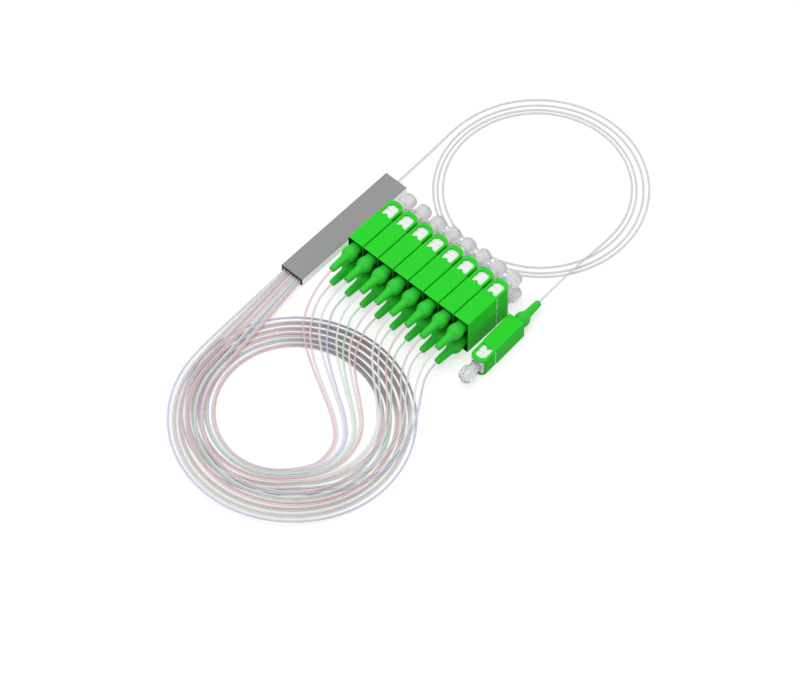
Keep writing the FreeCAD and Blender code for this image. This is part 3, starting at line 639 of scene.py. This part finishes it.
def one_for_each_plug(pattern, home, node_ending, name):
    """A copy of a pattern for each plug, by the plug's node. The pattern lies at home."""
    copies = {}
    for row in range(ROWS):
        for column in range(COLUMNS):
            number = row * COLUMNS + column + 1
            placing = Matrix.Translation(stack_place(row, column) - home)
            copies[f"{node_ending}_{number:02d}"] = moved_copy(
                pattern, f"{name}_{number:02d}", placing)
    copies[f"input_{node_ending}"] = moved_copy(
        pattern, f"{name}_input", TO_INPUT @ Matrix.Translation(FIRST_PLACE - home))
    bpy.data.objects.remove(pattern)
    return copies


# The sleeve's rear end is hollowed to a thin rim round the boot (mm).
RIM_DEPTH, HOLLOW_WIDTH, HOLLOW_HEIGHT = 2.5, 6.8, 8.4
grip_pattern = copy_of_node("grip_01", "grip_pattern")
rear_x = min(vertex.co.x for vertex in grip_pattern.data.vertices)
rim_cutter = block("rim_cutter", (rear_x, FIRST_PLACE.y, FIRST_PLACE.z),
                   (2 * RIM_DEPTH, HOLLOW_WIDTH, HOLLOW_HEIGHT))
thinned = grip_pattern.modifiers.new("rear_rim", "BOOLEAN")
thinned.operation = "DIFFERENCE"
thinned.solver = "EXACT"
thinned.object = rim_cutter
select_only(grip_pattern)
bpy.ops.object.modifier_apply(modifier="rear_rim")
bpy.data.objects.remove(rim_cutter)
soften(grip_pattern, 0.12)
# The rim and the hollow behind it are painted a much darker green, a painted shade for the
# recess and its rim. A face counts as theirs up to this far from the hollow's walls and end,
# and from the rear (mm).
WALL_REACH, END_REACH, RIM_REACH = 0.02, 0.05, 0.15
for face in grip_pattern.data.polygons:
    off_axis = face.center - FIRST_PLACE
    in_width = abs(off_axis.y) < (HOLLOW_WIDTH / 2 + WALL_REACH) * MM
    in_height = abs(off_axis.z) < (HOLLOW_HEIGHT / 2 + WALL_REACH) * MM
    in_depth = face.center.x < rear_x + (RIM_DEPTH + END_REACH) * MM
    rim = face.center.x < rear_x + RIM_REACH * MM and face.normal.x < -0.5
    if rim or (in_depth and in_width and in_height):
        face.material_index = 1
# A dark green that paints the shade inside the hollow and on the rim.
SLEEVE_PAINTED_SHADE = material("sleeve_painted_shade", (0.004, 0.11, 0.006),
                         {"Mottle": 0.2, "Mottle Scale": 600.0, "Roughness": 0.6},
                         {"Specular IOR Level": 0.1})
grips = one_for_each_plug(grip_pattern, FIRST_PLACE, "grip", "green_grip")
for node, grip in grips.items():
    finish_piece(grip, node, "grip_green", GRIP_GREEN, node)
    grip.data.materials.append(SLEEVE_PAINTED_SHADE)


# ---------------------------------------------------------------- white marks
# A thin white line of ink across the key side of each grip, behind the key rib. It
# shows how far the plug has gone into an adapter.
MARK_WHITE = material("mark_white", (0.86, 0.88, 0.86),
                      {"Mottle": 0.06, "Mottle Scale": 900.0, "Roughness": 0.5}, {})
# Its place from the middle of the grip, and its size (mm); half its depth is sunk in.
MARK_PLACE = Vector((4.55, -3.4, 0.0))
MARK_SIZE = (0.5, 0.08, 7.6)
mark_pattern = block("mark_pattern", FIRST_PLACE + MARK_PLACE * MM, MARK_SIZE)
soften(mark_pattern, 0.02, segments=1)
marks = one_for_each_plug(mark_pattern, FIRST_PLACE, "grip", "white_mark")
for body, mark in marks.items():
    finish_piece(mark, body, "frame_white", MARK_WHITE)


# ---------------------------------------------------------------- plug frames
# The white inner body of each plug, moulded round a stepped hollow. It shows in
# the latch windows, and round the ferrule once the dust cap is off.
FRAME_WHITE = material("frame_white", (0.96, 0.97, 0.96),
                       {"Mottle": 0.03, "Mottle Scale": 250.0, "Roughness": 0.4,
                        "Grain Scale": 5000.0, "Grain Depth": 0.08}, {})
output_frames = soften(copy_of_node("output_plug_frames", "white_frames"), 0.08)
finish_piece(output_frames, "splitter", "frame_white", FRAME_WHITE, "output_plug_frames")
input_frame = soften(copy_of_node("input_plug_frame", "white_frame_input"), 0.08)
finish_piece(input_frame, "splitter", "frame_white", FRAME_WHITE, "input_plug_frame")


# ---------------------------------------------------------------------- boots
# A soft moulded strain relief behind each grip: a round collar that runs by a
# hollow curve into a tapered tail round the cord.
BOOT_GREEN = material("boot_green", (0.035, 0.66, 0.045),
                      {"Mottle": 0.08, "Mottle Scale": 220.0, "Roughness": 0.5,
                       "Roughness Spread": 0.12, "Grain Scale": 3500.0, "Grain Depth": 0.2},
                      {"Specular IOR Level": 0.2})
# The half section as (x, radius) in mm, from the neck inside the grip round to the bore.
BOOT_OUTLINE = [(-8.2, 2.2), (-8.2, 2.6), (-13.3, 2.6), (-13.6, 2.7), (-14.0, 2.86),
                (-14.6, 3.02), (-15.3, 3.1), (-16.1, 3.1), (-16.8, 2.98), (-17.4, 2.74),
                (-17.9, 2.42), (-18.3, 2.1), (-18.7, 1.88), (-19.2, 1.77), (-20.2, 1.7),
                (-22.2, 1.6), (-24.4, 1.48), (-25.6, 1.4), (-26.0, 1.28), (-26.2, 1.0),
                (-26.15, 0.68), (-25.9, 0.55), (-14.0, 0.55), (-13.5, 2.1), (-8.2, 2.2)]
SPIN_STEPS = 40


def lathe(name, outline):
    """A closed half section (x, radius), drawn corner by corner and spun about the X axis."""
    bpy.ops.object.select_all(action="DESELECT")
    start_x, start_radius = outline[0]
    bpy.ops.mesh.primitive_plane_add(size=0.1 * MM,
                                     location=(start_x * MM, 0.0, start_radius * MM))
    piece = bpy.context.object
    piece.name = name
    bpy.ops.object.transform_apply(location=True, rotation=True, scale=True)
    bpy.ops.object.mode_set(mode="EDIT")
    bpy.ops.mesh.select_mode(type="VERT")
    bpy.ops.mesh.select_all(action="SELECT")
    bpy.ops.mesh.merge(type="CENTER")
    for (x, radius), (next_x, next_radius) in zip(outline, outline[1:]):
        step = ((next_x - x) * MM, 0.0, (next_radius - radius) * MM)
        bpy.ops.mesh.extrude_region_move(TRANSFORM_OT_translate={"value": step})
    bpy.ops.mesh.select_all(action="SELECT")
    bpy.ops.mesh.remove_doubles(threshold=0.001 * MM)
    bpy.ops.mesh.spin(steps=SPIN_STEPS, angle=2 * math.pi, center=(0, 0, 0), axis=(1, 0, 0))
    bpy.ops.mesh.select_all(action="SELECT")
    bpy.ops.mesh.remove_doubles(threshold=0.001 * MM)
    bpy.ops.mesh.normals_make_consistent(inside=False)
    bpy.ops.object.mode_set(mode="OBJECT")
    bpy.ops.object.shade_smooth_by_angle(angle=math.radians(40.0))
    return piece


boots = one_for_each_plug(lathe("boot_pattern", BOOT_OUTLINE), ORIGIN, "boot", "green_boot")
input_boot = boots.pop("input_boot")
bpy.ops.object.select_all(action="DESELECT")
for boot in boots.values():
    boot.select_set(True)
bpy.context.view_layer.objects.active = boots["boot_01"]
bpy.ops.object.join()
output_boots = bpy.context.object
output_boots.name = "green_boots"
finish_piece(output_boots, "splitter", "boot_green", BOOT_GREEN, "output_boots")
finish_piece(input_boot, "splitter", "boot_green", BOOT_GREEN, "input_boot")


# ------------------------------------------------------------------ dust caps
# A soft clear cap over each ferrule: a thin sleeve, a narrow neck and a round
# bulb to pull it by, moulded hollow, with the gate's nub left on its tip.
CAP_CLEAR = material("cap_clear", (0.96, 0.95, 0.97),
                     {"Mottle": 0.04, "Mottle Scale": 400.0, "Roughness": 0.3,
                      "Roughness Spread": 0.08, "Grain Scale": 1200.0, "Grain Depth": 0.03},
                     {"Transmission Weight": 0.7, "IOR": 1.4})
CAP_OUTLINE = [(5.0, 1.5), (5.0, 2.05), (5.1, 2.15), (14.4, 2.15), (14.8, 2.3), (15.0, 2.7),
               (15.3, 3.0), (15.9, 3.17), (16.7, 3.2), (18.2, 3.2), (19.1, 3.08),
               (19.8, 2.75), (20.3, 2.2), (20.5, 1.5), (20.5, 0.85), (20.6, 0.8), (20.9, 0.8),
               (21.0, 0.65), (21.0, 0.0), (19.6, 0.0), (19.4, 0.9), (18.9, 1.5), (18.0, 1.6),
               (16.2, 1.6), (15.4, 1.5), (5.0, 1.5)]
caps = one_for_each_plug(lathe("cap_pattern", CAP_OUTLINE), ORIGIN, "dust_cap", "clear_cap")
for node, cap in caps.items():
    finish_piece(cap, node, "cap_clear", CAP_CLEAR, node)

# With its plug and cap made, each cord's grip, mark and cap are gathered into a list that
# nothing uses. The inner pieces, which are one object for all the output plugs, join the
# list of a middle cord.
SHARED_INSIDES = [output_boots, output_frames, nodes["output_ferrules"],
                  nodes["output_springs"], nodes["output_stop_bodies"]]
MIDDLE_CORD = 5
for lane, number, cord, start, path in output_cords:
    plug = [grips[f"grip_{number:02d}"], marks[f"grip_{number:02d}"],
            caps[f"dust_cap_{number:02d}"]]
    if number == MIDDLE_CORD:
        plug += SHARED_INSIDES


# ------------------------------------------------------ ferrules and the rest
# Ground ceramic ferrules in plated holders, with coil springs and stop bodies
# behind them. They are hidden, save for what shows through the clear caps.
CERAMIC = material("ferrule_ceramic", (0.86, 0.86, 0.84),
                   {"Roughness": 0.15, "Grain Depth": 0.02}, {"Coat Weight": 0.3})
dress(CERAMIC, "input_ferrule", "output_ferrules")
PLATED = material("plated_metal", (0.72, 0.70, 0.66),
                  {"Roughness": 0.28, "Grain Scale": 9000.0, "Grain Depth": 0.1},
                  {"Metallic": 1.0})
dress(PLATED, "input_ferrule_holder", "input_stop_body", "output_stop_bodies")
SPRING_STEEL = material("spring_steel", (0.55, 0.55, 0.56),
                        {"Roughness": 0.3, "Grain Scale": 2500.0, "Grain Depth": 0.6,
                         "Stretch": (4.0, 0.2, 0.2)}, {"Metallic": 1.0})
dress(SPRING_STEEL, "input_spring", "output_springs")


# ------------------------------------------------------------- floor and light
# A plain pale floor, an even sky and one large soft lamp overhead. The floor gives
# back less light than it shows, so sides that face it stay deep in colour.
# What the floor and the sky show, and the weaker light that they give to the splitter.
FLOOR_SEEN = (0.48, 0.48, 0.48)
FLOOR_GIVING_LIGHT = (0.40, 0.40, 0.40)
FLOOR_GLOW = 0.62
SKY_SEEN, SKY_GIVING_LIGHT = 1.0, 0.5
LAMP_PLACE = Vector((-0.1, 0.1, 2.2))
LAMP_SIZE, LAMP_POWER = 1.6, 24.0
bpy.ops.object.select_all(action="DESELECT")
bpy.ops.mesh.primitive_plane_add(size=6.0, location=(0.0, 0.0, 0.0))
floor = bpy.context.object
floor.name = "floor"
floor_paint = bpy.data.materials.new("floor_paint")
floor_paint.use_nodes = True
floor_tree = floor_paint.node_tree
floor_shader = floor_tree.nodes["Principled BSDF"]
floor_shader.inputs["Roughness"].default_value = 0.9
floor_shader.inputs["Specular IOR Level"].default_value = 0.0
floor_shader.inputs["Emission Color"].default_value = (1.0, 1.0, 1.0, 1.0)
ray = floor_tree.nodes.new("ShaderNodeLightPath")
gives_light = ray.outputs["Is Diffuse Ray"]
floor_color = blended(floor_tree, gives_light, FLOOR_SEEN, FLOOR_GIVING_LIGHT)
floor_tree.links.new(floor_color, floor_shader.inputs["Base Color"])
seen = arithmetic(floor_tree, "SUBTRACT", 1.0, gives_light)
floor_tree.links.new(arithmetic(floor_tree, "MULTIPLY", seen, FLOOR_GLOW),
                     floor_shader.inputs["Emission Strength"])
floor.data.materials.append(floor_paint)

world = bpy.data.worlds.new("surroundings")
bpy.context.scene.world = world
world.use_nodes = True
sky = world.node_tree.nodes["Background"]
sky.inputs["Color"].default_value = (1.0, 1.0, 1.0, 1.0)
sky_ray = world.node_tree.nodes.new("ShaderNodeLightPath")
sky_strength = world.node_tree.nodes.new("ShaderNodeMapRange")
sky_strength.inputs["To Min"].default_value = SKY_SEEN
sky_strength.inputs["To Max"].default_value = SKY_GIVING_LIGHT
world.node_tree.links.new(sky_ray.outputs["Is Diffuse Ray"], sky_strength.inputs["Value"])
world.node_tree.links.new(sky_strength.outputs["Result"], sky.inputs["Strength"])

bpy.ops.object.light_add(type="AREA", location=LAMP_PLACE)
overhead = bpy.context.object
overhead.name = "overhead"
overhead.data.size = LAMP_SIZE
overhead.data.energy = LAMP_POWER
overhead.rotation_euler = (AIM - LAMP_PLACE).to_track_quat("-Z", "Y").to_euler()

bpy.context.scene.view_settings.view_transform = "Standard"
